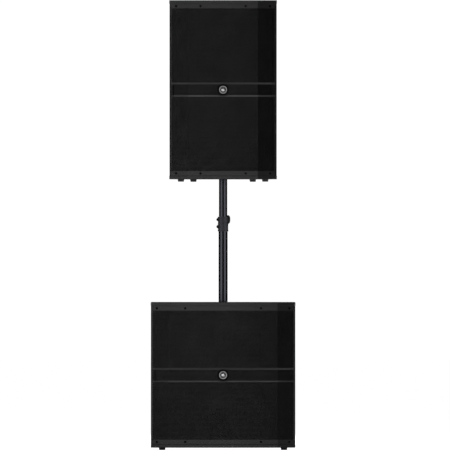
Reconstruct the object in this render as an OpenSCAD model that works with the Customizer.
// PA speaker set: a full-range head box on a telescopic mast above a subwoofer.
// Millimetres, +Z up, the floor at z = 0, the grilles face -Y, the mast in the plane x = 0.

/* [Subwoofer] */
// Width over the side panels
sub_w = 606; // [596:1:660]
// Height over the top and bottom panels
sub_h = 610; // [600:1:680]
// Depth from the foremost line of the grille to the back
sub_d = 640; // [600:1:720]
// Half width of the bowed centre of the grille
sub_bow = 229; // [200:1:240]

/* [Head box] */
// Width over the side panels at the front
head_w = 450; // [446:1:480]
// Width at the back
head_back_w = 336; // [326:1:380]
// Height over the top and bottom panels
head_h = 752; // [750:1:800]
// Depth from the foremost line of the grille to the back
head_d = 400; // [390:1:440]
// Half width of the bowed centre of the grille
head_bow = 146; // [130:1:160]

/* [Mast] */
// Clear height between the two boxes
gap_h = 517; // [480:1:560]
// Distance of the mast in front of the subwoofer's middle
mast_forward = 70; // [50:1:90]
// Outer diameter of the sliding tube
upper_od = 35; // [34:0.5:35.5]
// Outer diameter of the fixed tube
lower_od = 38.1; // [38.1:0.1:39]
// Height of the clamp collar
collar_h = 62; // [58:1:66]
// Height of the collar's lower end above the subwoofer
collar_up = 298; // [280:1:300]

/* [Cabinets] */
// Thickness of the plywood panels
ply = 15; // [14:1:16]
// Thickness of the back panels
back_t = 18; // [18:1:20]
// Height of the trim rails
rail_h = 19.5; // [18:0.5:22]
// Height of the rubber feet
foot_h = 10; // [8:1:14]
// Radius of the bow across a grille
bow_r = 1750; // [1500:10:2200]
// Angle by which the outer facets of a grille fall back
facet_angle = 19.5; // [17:0.5:21]

/* [Hidden] */
$fn = 64;
eps = 0.01;
bow_steps = 20;

// Each box: width, height, front y, back y, bow half width, base z, back width, cap overhang
head_z = foot_h + sub_h + gap_h;
mast_y = -mast_forward;
head_front = mast_y - 205;
sub = [sub_w, sub_h, -sub_d/2, sub_d/2, sub_bow, foot_h, sub_w, 1];
head = [head_w, head_h, head_front, head_front + head_d, head_bow, head_z, head_back_w, 1.6];

function wide(b) = b[0];
function tall(b) = b[1];
function front_y(b) = b[2];
function back_y(b) = b[3];
function bow(b) = b[4];
function base_z(b) = b[5];
function back_wide(b) = b[6];
function lip(b) = b[7];
function top_z(b) = base_z(b) + tall(b);
function mid_z(b) = base_z(b) + tall(b)/2;

// Front shape: an arc over the bow, then flat facets that fall back to the corners
function arc_drop(x) = bow_r - sqrt(bow_r*bow_r - x*x);
function drop(b, x) = abs(x) <= bow(b) ? arc_drop(x)
    : arc_drop(bow(b)) + (abs(x) - bow(b))*tan(facet_angle);
function face_y(b, x) = front_y(b) + drop(b, x);
function corner_y(b) = face_y(b, wide(b)/2);
function face_xs(b, half) =
    concat([-half], [for (i = [0:bow_steps]) bow(b)*(2*i/bow_steps - 1)], [half]);
function face_line(b, half, dy) = [for (x = face_xs(b, half)) [x, face_y(b, x) + dy]];
function flip(points) = [for (i = [len(points) - 1:-1:0]) points[i]];
function mirrored(points) = [for (p = flip(points)) [-p[0], p[1]]];

// Plan of the sides
function taper(b) = atan((wide(b) - back_wide(b))/2/(back_y(b) - corner_y(b)));
function side_x(b, y) = wide(b)/2 - (y - corner_y(b))*tan(taper(b));
function inner_x(b, y) = side_x(b, y) - ply/cos(taper(b));

// Cut across the corners of the top and bottom panels
corner_cut = 4;

// Grille, foam and rails sit in a rebate behind a thin edge of the side panels
edge = 4;
rebate = 4;
sheet_t = 1.2;
sheet_dy = 1.5;
band_dy = 6.5;
foam_t = 5;
rail_dy = 0.8;
ledge_up = 26;
upper_ledge = 7;
lower_ledge = 5.3;
function sheet_half(b) = wide(b)/2 - edge;
function band_half(b) = inner_x(b, corner_y(b)) - 1;
function field_bottom(b) = base_z(b) + ply + rail_h;
function field_top(b) = top_z(b) - ply - rail_h;

badge_r = 22;

// Baffles
baffle_set = 12;
baffle_t = 18;
function baffle_y(b) = corner_y(b) + baffle_set;

// Rail screws: distances from the middle of each box
sub_screws = [-278, -159, 159, 278];
head_screws = [-197.5, -95, 95, 197.5];
recess_r = 5;
recess_deep = 6;
screw_r = 2.5;

// Each driver: frame radius, cut-out radius, depth, magnet radius, coil radius, height z
sub_driver = [231, 212, 200, 108, 50, mid_z(sub)];
head_driver = [194, 177, 160, 78, 38, head_z + 233];
flange_t = 8;
function frame_r(d) = d[0];
function cut_r(d) = d[1];
function deep(d) = d[2];
function magnet_r(d) = d[3];
function coil_r(d) = d[4];
function driver_z(d) = d[5];
function roll_in(d) = cut_r(d) - 32;
function roll_out(d) = cut_r(d) - 12;

// Each port set: radius, length, distance across and up from the driver's middle
sub_port = [50, 190, 218, 218];
head_port = [25, 85, 160, 166];
port_wall = 4;

// Each foot set: x and y of the front pair, x and y of the back pair
sub_feet_at = [[256, -240], [256, 285]];
head_feet_at = [[177, head_front + 62], [125, head_front + head_d - 35]];

// Horn
horn_z = head_z + 577;
horn_w = 320;
horn_h = 240;
horn_deep = 140;
throat_r = 18;
horn_flange = 6;
hf_r = 45;
hf_h = 55;

// Handles
grip_len = 180;
grip_high = 100;
grip_deep = 52;
grip_wall = 3;
grip_r = 12;
grip_up = 20;
sub_grip = [30, base_z(sub) + 355];
head_grip = [head_front + 235, head_z + 440];

// Amplifiers: plate width, plate height, middle z
sub_amp = [300, 260, mid_z(sub)];
head_amp = [240, 380, head_z + 330];
plate_set = 12;
plate_t = 3;
function plate_y(b) = back_y(b) - plate_set + plate_t;

// Places on the amplifier plates, from the middle of the plate
sub_sink_at = [-75, 0, 110, 200];
head_sink_at = [0, 105, 190, 120];
sub_jacks = [[40, 75], [105, 75]];
head_jacks = [[-70, -50], [-10, -50]];
sub_inlet = [50, -85];
head_inlet = [50, -140];
sub_switch = [110, -85];
head_switch = [-50, -140];
sub_knob = [40, 0];
sub_button = [105, 0];
head_knobs = [[-80, 15], [-30, 15]];
head_dial = [60, 15];
jack_r = 12;
jack_bore = 9.5;
jack_deep = 16;
inlet_w = 28;
inlet_h = 21;
stem_r = 3;
fit = 0.05;
knob_r = 8.5;
dial_r = 12;
knob_h = 8;
button_r = 4;
rocker_r = 10.5;
rocker_w = 12.2;
proud = 0.3;

// Mast
stud_r = 10;
socket_r = 25;
socket_h = 60;
wall_t = 1.5;
collar_z = foot_h + sub_h + collar_up;
split_z = collar_z + collar_h/2;
collar_r = 21.5;
rim_r = 22.6;
rim_h = 4;
ear_w = 28;
ear_y = 42;
slot_w = 2;
bolt_r = 4;
bolt_back = 34;
nut_h = 9;
bolt_z = [collar_z + collar_h - 12, collar_z + collar_h - 42];
clamp_knob_r = 18.5;
clamp_knob_h = 16;
upper_low = collar_z + collar_h - 188;
cup_deep = 83;
cup_r = 23;
insert_r = 9;
insert_h = 25;
insert_bore = 5;
inserts_at = [[-150, head_front + 110], [150, head_front + 110], [0, head_front + 335]];

// ---- Helpers ----

// Strip that follows the front shape, t thick, its face dy behind the front
module face_band(b, half, dy, t)
    polygon(concat(face_line(b, half, dy), flip(face_line(b, half, dy + t))));

// Rectangle with round corners, centred
module rounded(w, h, r) {
    square([w - 2*r, h], center = true);
    square([w, h - 2*r], center = true);
    for (x = [-1, 1], y = [-1, 1]) translate([x*(w/2 - r), y*(h/2 - r)]) circle(r);
}

// Extrudes a drawing on the XZ plane from y backwards by t
module from_front(x, y, z, t) translate([x, y, z]) rotate([90, 0, 0])
    translate([0, 0, -t]) linear_extrude(t) children();

// Turns +Z into +Y, for round things whose axis runs from front to back
module axis_y(x, y, z) translate([x, y, z]) rotate([-90, 0, 0]) children();

// Frame on the right-hand side panel: +X outwards, +Y to the back
module on_side(b, at) translate([side_x(b, at[0]), at[0], at[1]])
    rotate([0, 0, taper(b)]) children();

// Extrudes a drawing on the YZ plane outwards from x by t
module outwards(x, t) translate([x, 0, 0]) rotate([90, 0, 90]) linear_extrude(t) children();

module both_sides() for (s = [0, 1]) mirror([s, 0, 0]) children();

// ---- Cabinet ----

module plan(b) {
    front_x = wide(b)/2 + lip(b);
    back_x = back_wide(b)/2 + lip(b);
    side = [
        [front_x, face_y(b, front_x) + corner_cut],
        [back_x, back_y(b) - corner_cut],
        [back_x - corner_cut, back_y(b)]];
    polygon(concat(face_line(b, front_x - corner_cut, 0), side, mirrored(side)));
}

module cap_panel(b, z) translate([0, 0, z]) linear_extrude(ply) plan(b);

module mast_hole(z, r) translate([0, mast_y, z - eps]) cylinder(r = r, h = ply + 2*eps);

module right_plan(b) {
    rail_x = inner_x(b, corner_y(b));
    rail_y = face_y(b, rail_x) + rebate;
    polygon([
        [wide(b)/2, corner_y(b)],
        [sheet_half(b), face_y(b, sheet_half(b))],
        [sheet_half(b), face_y(b, sheet_half(b)) + rebate],
        [inner_x(b, rail_y), rail_y],
        [inner_x(b, back_y(b)), back_y(b)],
        [back_wide(b)/2, back_y(b)]]);
}

module grip_cut(b, at) on_side(b, at) {
    outwards(-2*ply, 3*ply)
        rounded(grip_len + 2*grip_wall, grip_high + 2*grip_wall, 12);
    outwards(-grip_wall, 3*grip_wall) rounded(grip_len + 24, grip_high + 24, 18);
}

module side_panels(b, grip) both_sides() difference() {
    translate([0, 0, base_z(b) + ply]) linear_extrude(tall(b) - 2*ply) right_plan(b);
    grip_cut(b, grip);
}

module cross_panel(b, y, t) translate([0, 0, base_z(b) + ply])
    linear_extrude(tall(b) - 2*ply) polygon([
        [-inner_x(b, y), y], [inner_x(b, y), y],
        [inner_x(b, y + t), y + t], [-inner_x(b, y + t), y + t]]);

module back_panel(b, amp) difference() {
    cross_panel(b, back_y(b) - back_t, back_t);
    from_front(0, back_y(b) - back_t - eps, amp[2], back_t + 2*eps)
        rounded(amp[0] - 24, amp[1] - 24, 6);
    from_front(0, back_y(b) - plate_set, amp[2], plate_set + eps)
        rounded(amp[0] + 1, amp[1] + 1, 6);
}

module port_places(d, p) for (x = [-1, 1], z = [-1, 1])
    translate([x*p[2], 0, driver_z(d) + z*p[3]]) children();

module baffle(b, d, p, screws) difference() {
    cross_panel(b, baffle_y(b), baffle_t);
    axis_y(0, baffle_y(b) - eps, driver_z(d)) cylinder(r = cut_r(d), h = baffle_t + 2*eps);
    port_places(d, p) axis_y(0, baffle_y(b) - eps, 0)
        cylinder(r = p[0] + port_wall, h = baffle_t + 2*eps);
    for (x = screws, z = rail_zs(b)) axis_y(x, baffle_y(b) - eps, z)
        cylinder(r = screw_r, h = 12);
}

module ports(b, d, p) port_places(d, p) axis_y(0, baffle_y(b), 0) difference() {
    cylinder(r = p[0] + port_wall, h = p[1]);
    translate([0, 0, -eps]) cylinder(r = p[0], h = p[1] + 2*eps);
}

module feet(b, places) for (at = places, s = [-1, 1])
    translate([s*at[0], at[1], base_z(b) - foot_h]) cylinder(r1 = 12, r2 = 14, h = foot_h);

// ---- Front ----

function rail_zs(b) = [base_z(b) + ply + rail_h/2, top_z(b) - ply - rail_h/2];

module rail_plan(b) {
    half = sheet_half(b);
    in_x = inner_x(b, corner_y(b));
    in_y = face_y(b, in_x) + rebate;
    back = [
        [half, face_y(b, half) + rebate],
        [inner_x(b, in_y), in_y],
        [inner_x(b, baffle_y(b)), baffle_y(b)]];
    polygon(concat(face_line(b, half, rail_dy), back, mirrored(back)));
}

module trim_rails(b, screws) difference() {
    for (z = rail_zs(b)) translate([0, 0, z - rail_h/2]) linear_extrude(rail_h) rail_plan(b);
    for (x = screws, z = rail_zs(b)) {
        axis_y(x, face_y(b, x) - 3*recess_r, z) cylinder(r = recess_r, h = 3*recess_r + recess_deep);
        axis_y(x, face_y(b, x), z) cylinder(r = screw_r, h = 2*ply + baffle_y(b) - face_y(b, x));
    }
}

module trim_screws(b, screws) for (x = screws, z = rail_zs(b)) {
    seat = face_y(b, x) + recess_deep;
    axis_y(x, seat - 4, z) difference() {
        union() {
            cylinder(r = 4.4, h = 4);
            cylinder(r = screw_r, h = baffle_y(b) + 10 - seat + 4);
        }
        translate([0, 0, -eps]) cylinder(r = 2.4, h = 2.5, $fn = 6);
    }
}

module grille(b) {
    low = field_bottom(b);
    window = mid_z(b) - ledge_up;
    difference() {
        translate([0, 0, low]) linear_extrude(field_top(b) - low)
            face_band(b, sheet_half(b), sheet_dy, sheet_t);
        translate([-band_half(b), front_y(b) - 10, window])
            cube([2*band_half(b), tall(b), 2*ledge_up]);
    }
    translate([0, 0, window]) linear_extrude(2*ledge_up)
        face_band(b, band_half(b), band_dy, sheet_t);
    for (ledge = [[mid_z(b) + ledge_up, upper_ledge], [mid_z(b) - ledge_up, lower_ledge]])
        translate([0, 0, ledge[0] - ledge[1]/2]) linear_extrude(ledge[1])
            face_band(b, band_half(b), sheet_dy, band_dy + sheet_t - sheet_dy);
}

module grille_foam(b) {
    half = band_half(b) - 1;
    sheet_back = sheet_dy + sheet_t;
    reach = ledge_up + upper_ledge/2 + 1;
    for (z = [[field_bottom(b), mid_z(b) - reach], [mid_z(b) + reach, field_top(b)]])
        translate([0, 0, z[0]]) linear_extrude(z[1] - z[0])
            face_band(b, half, sheet_back, foam_t);
    translate([0, 0, mid_z(b) - reach]) linear_extrude(2*reach)
        face_band(b, half, band_dy + sheet_t, foam_t);
}

// Round badge: a dished ring around a low dome
module badge(b) axis_y(0, front_y(b) + band_dy, mid_z(b)) rotate([180, 0, 0]) {
    difference() {
        cylinder(r = badge_r, h = 5);
        translate([0, 0, 2]) cylinder(r = badge_r - 3.5, h = 4);
    }
    cylinder(r = badge_r - 4, h = 3.5);
    translate([0, 0, 3.5]) intersection() {
        translate([0, 0, 2 - 40]) sphere(r = 40, $fn = 96);
        cylinder(r = 12, h = 3);
    }
}

// ---- Drivers ----

module driver_at(b, d) axis_y(0, baffle_y(b), driver_z(d)) children();

module woofer_frame(b, d) driver_at(b, d) {
    shelf = 0.75*deep(d);
    inner = cut_r(d) - 12;
    difference() {
        rotate_extrude() polygon([
            [inner, -flange_t], [frame_r(d), -flange_t], [frame_r(d), 0], [cut_r(d) - 1, 0],
            [cut_r(d) - 4, 0.2*deep(d)], [magnet_r(d) + 4, shelf], [coil_r(d) + 10, shelf],
            [coil_r(d) + 10, shelf - 5], [magnet_r(d), shelf - 5],
            [cut_r(d) - 9, 0.2*deep(d)], [cut_r(d) - 6, -flange_t/2], [inner, -flange_t/2]]);
        for (i = [0:5]) rotate([0, 0, 60*i]) translate([magnet_r(d) + 6, -0.4*magnet_r(d), 0.28*deep(d)])
            cube([cut_r(d), 0.8*magnet_r(d), 0.36*deep(d)]);
    }
}

module woofer_magnet(b, d) driver_at(b, d) difference() {
    translate([0, 0, 0.75*deep(d)]) cylinder(r = magnet_r(d), h = 0.25*deep(d));
    translate([0, 0, 0.75*deep(d) - eps]) difference() {
        cylinder(r = coil_r(d) + 3, h = 0.18*deep(d));
        translate([0, 0, -eps]) cylinder(r = coil_r(d) - 1.5, h = 0.18*deep(d) + 2*eps);
    }
}

module woofer_cone(b, d) driver_at(b, d) rotate_extrude() {
    neck = 0.5*deep(d);
    cap = coil_r(d)*1.3;
    dish = (neck - 2)*(cap - coil_r(d))/(roll_in(d) - coil_r(d));
    crown = 0.35*cap;
    polygon([[coil_r(d), neck], [roll_in(d), 2], [roll_in(d), 4], [coil_r(d) + 1, neck + 2]]);
    translate([coil_r(d), neck]) square([1, 0.34*deep(d)]);
    polygon(concat(
        [for (i = [0:8]) [cap*i/8, neck - dish - crown*(1 - pow(i/8, 2))]],
        [for (i = [8:-1:0]) [cap*i/8, neck - dish + 2 - crown*(1 - pow(i/8, 2))]]));
}

module woofer_suspension(b, d) driver_at(b, d) {
    middle = (roll_in(d) + roll_out(d))/2;
    roll = (roll_out(d) - roll_in(d))/2 - proud;
    spider_z = 0.6*deep(d);
    slope = (cut_r(d) - 9 - magnet_r(d))/(0.55*deep(d) - 5);
    rotate_extrude() translate([middle, -flange_t/2]) difference() {
        circle(r = roll);
        circle(r = roll - 2);
        translate([-roll, 0]) square([2*roll, roll]);
    }
    rotate_extrude() translate([coil_r(d) + 1 + proud, spider_z])
        square([magnet_r(d) + slope*(0.15*deep(d) - 5) - coil_r(d) - 3, 1.5]);
}

module horn_stage(y, w, h) translate([0, y, horn_z]) rotate([90, 0, 0])
    linear_extrude(eps) rounded(w, h, min(w, h)/4);

module horn_shell(grow) {
    y0 = baffle_y(head);
    steps = 3;
    for (i = [0:steps - 1]) hull() for (k = [i, i + 1]) {
        open = pow(1 - k/steps, 1.7);
        horn_stage(y0 + horn_deep*k/steps,
            2*(throat_r + grow) + open*(horn_w - 2*throat_r),
            2*(throat_r + grow) + open*(horn_h - 2*throat_r));
    }
}

module horn() difference() {
    union() {
        from_front(0, baffle_y(head) - horn_flange, horn_z, horn_flange)
            rounded(horn_w + 26, horn_h + 26, 20);
        horn_shell(2.5);
    }
    horn_shell(0);
    from_front(0, baffle_y(head) - horn_flange - eps, horn_z, horn_flange + 3*eps)
        rounded(horn_w, horn_h, horn_h/4);
    from_front(0, baffle_y(head) + horn_deep - 1, horn_z, 2) circle(r = throat_r);
}

module hf_driver() axis_y(0, baffle_y(head) + horn_deep, horn_z) {
    cylinder(r = hf_r, h = 0.6*hf_h);
    cylinder(r = 0.8*hf_r, h = hf_h);
}

// ---- Handles ----

module handles(b, at) both_sides() on_side(b, at) {
    difference() {
        union() {
            outwards(-grip_wall, grip_wall) rounded(grip_len + 24, grip_high + 24, 18);
            outwards(-grip_deep - grip_wall, grip_deep)
                rounded(grip_len + 2*grip_wall, grip_high + 2*grip_wall, 12);
        }
        outwards(-grip_deep, grip_deep + 1) rounded(grip_len, grip_high, 10);
    }
    translate([-grip_r - 2, 0, grip_up]) rotate([90, 0, 0])
        cylinder(r = grip_r, h = grip_len + grip_wall, center = true);
}

// ---- Amplifiers ----

module on_plate(b, amp, at) axis_y(at[0], plate_y(b), amp[2] + at[1]) children();

module plate_hole(b, amp, at, r) on_plate(b, amp, at)
    translate([0, 0, -plate_t - eps]) cylinder(r = r, h = plate_t + 2*eps);

module plate_slot(b, amp, at, w, h)
    from_front(at[0], plate_y(b) - plate_t - eps, amp[2] + at[1], plate_t + 2*eps)
        square([w, h], center = true);

module amp_plate(b, amp, sink, jacks, inlet, switch, stems, button) difference() {
    from_front(0, plate_y(b) - plate_t, amp[2], plate_t) rounded(amp[0], amp[1], 5.5);
    plate_slot(b, amp, sink, sink[2], sink[3]);
    for (at = jacks) plate_hole(b, amp, at, jack_r);
    plate_slot(b, amp, inlet, inlet_w, inlet_h);
    plate_slot(b, amp, switch, rocker_w + 2*proud, 2*rocker_r + 2*proud);
    for (at = stems) plate_hole(b, amp, at, stem_r + fit);
    for (at = button) plate_hole(b, amp, at, button_r + fit);
}

module heatsink(b, amp, sink) {
    fins = 12;
    fin_w = 2.4;
    step = (sink[2] - 8)/(fins - 1);
    base_t = 5;
    base_y = plate_y(b) - plate_t - base_t;
    from_front(sink[0], base_y, amp[2] + sink[1], base_t)
        square([sink[2] + 12, sink[3] + 12], center = true);
    for (i = [0:fins - 1])
        from_front(sink[0] - sink[2]/2 + 4 + i*step, base_y + base_t - eps,
            amp[2] + sink[1], plate_t + 8.5)
            square([fin_w, sink[3] - 4], center = true);
}

module amp_board(b, amp) {
    board_y = back_y(b) - 58;
    board_w = amp[0] - 50;
    board_h = amp[1] - 60;
    from_front(0, board_y, amp[2], 1.6) square([board_w, board_h], center = true);
    // Transformer and smoothing capacitors on the front face of the board
    from_front(-board_w/4, board_y - 34, amp[2] - board_h/4, 34)
        square([60, 50], center = true);
    for (i = [0:3]) axis_y(-board_w/4 + 26*i, board_y - 30, amp[2] + board_h/4)
        cylinder(r = 11, h = 30);
}

module jack(b, amp, at) on_plate(b, amp, at) difference() {
    union() {
        linear_extrude(2) rounded(26, 31, 3);
        translate([0, 0, -jack_deep - 2]) cylinder(r = jack_r, h = jack_deep + 2);
    }
    translate([0, 0, -jack_deep]) cylinder(r = jack_bore, h = jack_deep + 3);
}

module inlet(b, amp, at) difference() {
    union() {
        from_front(at[0], plate_y(b), amp[2] + at[1], 2) rounded(50, 26, 4);
        from_front(at[0], plate_y(b) - jack_deep - 2, amp[2] + at[1], jack_deep + 2)
            square([inlet_w, inlet_h], center = true);
    }
    from_front(at[0], plate_y(b) - jack_deep, amp[2] + at[1], jack_deep + 3)
        square([inlet_w - 4, inlet_h - 4], center = true);
}

module rear_sockets(b, amp, jacks, inlet_at) {
    for (at = jacks) jack(b, amp, at);
    inlet(b, amp, inlet_at);
}

module rocker(b, amp, at) translate([at[0], plate_y(b) - plate_t/2, amp[2] + at[1]])
    intersection() {
        rotate([0, 90, 0]) cylinder(r = rocker_r, h = rocker_w, center = true);
        translate([-rocker_w, -6, -2*rocker_r]) cube([2*rocker_w, 11, 4*rocker_r]);
    }

// Knob on its stem, with a pointer groove
module knob(b, amp, at, r) on_plate(b, amp, at) difference() {
    union() {
        translate([0, 0, proud]) cylinder(r = r, h = knob_h);
        translate([0, 0, -18]) cylinder(r = stem_r, h = 19);
    }
    translate([-0.6, -r - eps, knob_h - 0.9]) cube([1.2, 0.7*r, 2]);
}

module push_button(b, amp, at) on_plate(b, amp, at)
    translate([0, 0, -14]) cylinder(r = button_r, h = 20);

// ---- Mast ----

module on_mast(z) translate([0, mast_y, z]) children();

module pole_socket() on_mast(top_z(sub)) difference() {
    translate([0, 0, -socket_h]) union() {
        cylinder(r = socket_r, h = socket_h);
        translate([0, 0, socket_h - rim_h]) cylinder(r = 1.6*socket_r, h = rim_h);
    }
    translate([0, 0, 12 - socket_h]) cylinder(r = stud_r, h = socket_h);
}

module base_plug() on_mast(top_z(sub)) {
    translate([0, 0, -36]) cylinder(r = stud_r, h = 37);
    cylinder(r = lower_od/2, h = rim_h);
    cylinder(r = lower_od/2 - wall_t, h = 35);
}

module lower_tube() on_mast(top_z(sub) + rim_h) difference() {
    cylinder(r = lower_od/2, h = split_z - top_z(sub) - rim_h);
    translate([0, 0, -eps])
        cylinder(r = lower_od/2 - wall_t, h = split_z - top_z(sub) - rim_h + 2*eps);
}

module upper_tube() on_mast(upper_low) difference() {
    cylinder(r = upper_od/2, h = head_z + cup_deep - upper_low);
    translate([0, 0, -eps]) cylinder(r = upper_od/2 - 2, h = head_z + cup_deep - upper_low + 2*eps);
}

// Collar with two clamp ears behind it: the lower clamps the fixed tube, the upper the sliding one
module collar() difference() {
    on_mast(collar_z) union() {
        cylinder(r = collar_r, h = collar_h);
        for (z = [0, (collar_h - rim_h)/2, collar_h - rim_h])
            translate([0, 0, z]) cylinder(r = rim_r, h = rim_h);
        for (z = bolt_z) translate([-ear_w/2, 8, z - collar_z - 8]) cube([ear_w, ear_y - 8, 16]);
    }
    on_mast(collar_z - eps) cylinder(r = lower_od/2, h = split_z - collar_z + eps);
    on_mast(split_z - eps) cylinder(r = upper_od/2 + fit, h = collar_h/2 + 2*eps);
    on_mast(collar_z - eps) translate([-slot_w/2, 10, 0]) cube([slot_w, ear_y, collar_h + 2*eps]);
    for (z = bolt_z) translate([-ear_w, mast_y + bolt_back, z]) rotate([0, 90, 0])
        cylinder(r = bolt_r, h = 2*ear_w);
}

module acorn_nut() rotate([0, -90, 0]) {
    cylinder(r = 7.4, h = nut_h, $fn = 6);
    translate([0, 0, nut_h - 1]) intersection() {
        sphere(r = 6.4);
        cylinder(r = 7, h = nut_h);
    }
}

module clamp_bolts() for (i = [0, 1]) translate([0, mast_y + bolt_back, bolt_z[i]]) {
    translate([-ear_w/2, 0, 0]) acorn_nut();
    translate([-ear_w/2 - 3, 0, 0]) rotate([0, 90, 0])
        cylinder(r = bolt_r, h = ear_w + (i == 0 ? 12 : 4));
    if (i == 1) translate([ear_w/2, 0, 0]) rotate([0, 90, 0]) cylinder(r = 7, h = 5);
}

// Six-lobed hand knob
module clamp_knob() translate([ear_w/2 + proud, mast_y + bolt_back, bolt_z[0]])
    rotate([0, 90, 0]) difference() {
        union() {
            cylinder(r = 0.8*clamp_knob_r, h = 0.6*clamp_knob_h);
            translate([0, 0, 0.6*clamp_knob_h])
                cylinder(r1 = 0.8*clamp_knob_r, r2 = 0.4*clamp_knob_r, h = 0.4*clamp_knob_h);
            for (i = [0:5]) rotate([0, 0, 60*i]) translate([clamp_knob_r - 5, 0, 3])
                cylinder(r = 5, h = 0.7*clamp_knob_h - 3);
        }
        translate([0, 0, -eps]) cylinder(r = bolt_r + fit, h = 10);
    }

module pole_cup() on_mast(head_z) difference() {
    union() {
        cylinder(r = cup_r, h = cup_deep + 6);
        cylinder(r = 2*cup_r, h = rim_h);
    }
    translate([0, 0, -eps]) cylinder(r = upper_od/2 + 2*fit, h = cup_deep + proud + eps);
}

// ---- Rigging ----

module insert_places() for (at = inserts_at) translate([at[0], at[1], top_z(head) - insert_h])
    children();

module rigging_inserts() insert_places() difference() {
    cylinder(r = insert_r, h = insert_h);
    translate([0, 0, -eps]) cylinder(r = insert_bore, h = insert_h + 2*eps);
}

// ---- Subwoofer nodes ----

module sub_top_panel() color("#252528") difference() {
    cap_panel(sub, top_z(sub) - ply);
    mast_hole(top_z(sub) - ply, socket_r);
    mast_hole(top_z(sub) - rim_h, 1.6*socket_r);
}
module sub_bottom_panel() color("#252528") cap_panel(sub, base_z(sub));
module sub_side_panels() color("#232326") side_panels(sub, sub_grip);
module sub_back_panel() color("#232326") back_panel(sub, sub_amp);
module sub_baffle() color("#1c1c1e") baffle(sub, sub_driver, sub_port, sub_screws);
module sub_ports() color("#161617") ports(sub, sub_driver, sub_port);
module sub_feet() color("#111112") feet(sub, sub_feet_at);
module sub_grille() color("#2b2b2d") grille(sub);
module sub_grille_foam() color("#0c0c0d") grille_foam(sub);
module sub_trim_rails() color("#303033") trim_rails(sub, sub_screws);
module sub_trim_screws() color("#3a3a3d") trim_screws(sub, sub_screws);
module sub_badge() color("silver") badge(sub);
module sub_handles() color("#1a1a1b") handles(sub, sub_grip);
module sub_pole_socket() color("dimgray") pole_socket();
module sub_woofer_frame() color("#2a2a2c") woofer_frame(sub, sub_driver);
module sub_woofer_magnet() color("#3c3c3f") woofer_magnet(sub, sub_driver);
module sub_woofer_cone() color("#18181a") woofer_cone(sub, sub_driver);
module sub_woofer_suspension() color("#222224") woofer_suspension(sub, sub_driver);
module sub_amp_plate() color("#1d1d20") amp_plate(sub, sub_amp, sub_sink_at, sub_jacks,
    sub_inlet, sub_switch, [sub_knob], [sub_button]);
module sub_amp_heatsink() color("#2e2e31") heatsink(sub, sub_amp, sub_sink_at);
module sub_amp_board() color("darkgreen") amp_board(sub, sub_amp);
module sub_rear_sockets() color("#404044") rear_sockets(sub, sub_amp, sub_jacks, sub_inlet);
module sub_power_switch() color("#0f0f10") rocker(sub, sub_amp, sub_switch);
module sub_level_knob() color("#151516") knob(sub, sub_amp, sub_knob, knob_r);
module sub_polarity_button() color("#b8b8bc") push_button(sub, sub_amp, sub_button);

// ---- Mast nodes ----

module mast_base_plug() color("#1a1a1c") base_plug();
module mast_lower_tube() color("#3b3e44") lower_tube();
module mast_collar() color("#3d3f44") collar();
module mast_clamp_bolts() color("#5a5a5f") clamp_bolts();
module mast_clamp_knob() color("#101011") clamp_knob();
module mast_upper_tube() color("#3f4248") upper_tube();

// ---- Head box nodes ----

module head_top_panel() color("#252528") difference() {
    cap_panel(head, top_z(head) - ply);
    insert_places() cylinder(r = insert_r, h = insert_h + eps);
}
module head_bottom_panel() color("#252528") difference() {
    cap_panel(head, head_z);
    mast_hole(head_z, cup_r);
    on_mast(head_z - eps) cylinder(r = 2*cup_r, h = rim_h + eps);
}
module head_side_panels() color("#232326") side_panels(head, head_grip);
module head_back_panel() color("#232326") back_panel(head, head_amp);
module head_baffle() color("#1c1c1e") difference() {
    baffle(head, head_driver, head_port, head_screws);
    from_front(0, baffle_y(head) - eps, horn_z, baffle_t + 2*eps)
        rounded(horn_w + 6, horn_h + 6, horn_h/4 + 3);
}
module head_ports() color("#161617") ports(head, head_driver, head_port);
module head_feet() color("#111112") feet(head, head_feet_at);
module head_grille() color("#2b2b2d") grille(head);
module head_grille_foam() color("#0c0c0d") grille_foam(head);
module head_trim_rails() color("#303033") trim_rails(head, head_screws);
module head_trim_screws() color("#3a3a3d") trim_screws(head, head_screws);
module head_badge() color("silver") badge(head);
module head_handles() color("#1a1a1b") handles(head, head_grip);
module head_pole_cup() color("dimgray") pole_cup();
module head_woofer_frame() color("#2a2a2c") woofer_frame(head, head_driver);
module head_woofer_magnet() color("#3c3c3f") woofer_magnet(head, head_driver);
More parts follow.
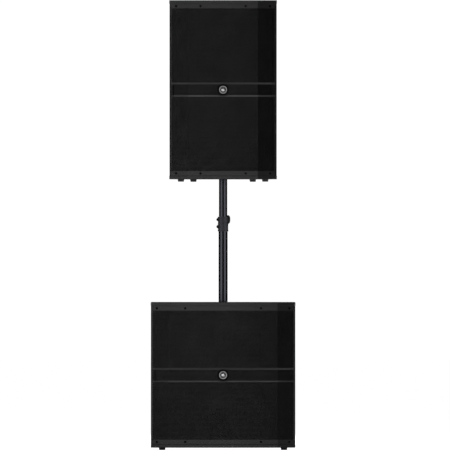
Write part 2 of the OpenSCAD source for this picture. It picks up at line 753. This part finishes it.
module head_woofer_cone() color("#18181a") woofer_cone(head, head_driver);
module head_woofer_suspension() color("#222224") woofer_suspension(head, head_driver);
module head_horn() color("#1b1b1c") horn();
module head_hf_driver() color("#3a3a3d") hf_driver();
module head_amp_plate() color("#1d1d20") amp_plate(head, head_amp, head_sink_at, head_jacks,
    head_inlet, head_switch, concat(head_knobs, [head_dial]), []);
module head_amp_heatsink() color("#2e2e31") heatsink(head, head_amp, head_sink_at);
module head_amp_board() color("darkgreen") amp_board(head, head_amp);
module head_rear_sockets() color("#404044") rear_sockets(head, head_amp, head_jacks, head_inlet);
module head_power_switch() color("#0f0f10") rocker(head, head_amp, head_switch);
module head_level_knob_1() color("#151516") knob(head, head_amp, head_knobs[0], knob_r);
module head_level_knob_2() color("#151516") knob(head, head_amp, head_knobs[1], knob_r);
module head_menu_dial() color("#151516") knob(head, head_amp, head_dial, dial_r);
module head_rigging_inserts() color("darkgray") rigging_inserts();

sub_top_panel();
sub_bottom_panel();
sub_side_panels();
sub_back_panel();
sub_baffle();
sub_ports();
sub_feet();
sub_grille();
sub_grille_foam();
sub_trim_rails();
sub_trim_screws();
sub_badge();
sub_handles();
sub_pole_socket();
sub_woofer_frame();
sub_woofer_magnet();
sub_woofer_cone();
sub_woofer_suspension();
sub_amp_plate();
sub_amp_heatsink();
sub_amp_board();
sub_rear_sockets();
sub_power_switch();
sub_level_knob();
sub_polarity_button();
mast_base_plug();
mast_lower_tube();
mast_collar();
mast_clamp_bolts();
mast_clamp_knob();
mast_upper_tube();
head_top_panel();
head_bottom_panel();
head_side_panels();
head_back_panel();
head_baffle();
head_ports();
head_feet();
head_grille();
head_grille_foam();
head_trim_rails();
head_trim_screws();
head_badge();
head_handles();
head_pole_cup();
head_woofer_frame();
head_woofer_magnet();
head_woofer_cone();
head_woofer_suspension();
head_horn();
head_hf_driver();
head_amp_plate();
head_amp_heatsink();
head_amp_board();
head_rear_sockets();
head_power_switch();
head_level_knob_1();
head_level_knob_2();
head_menu_dial();
head_rigging_inserts();
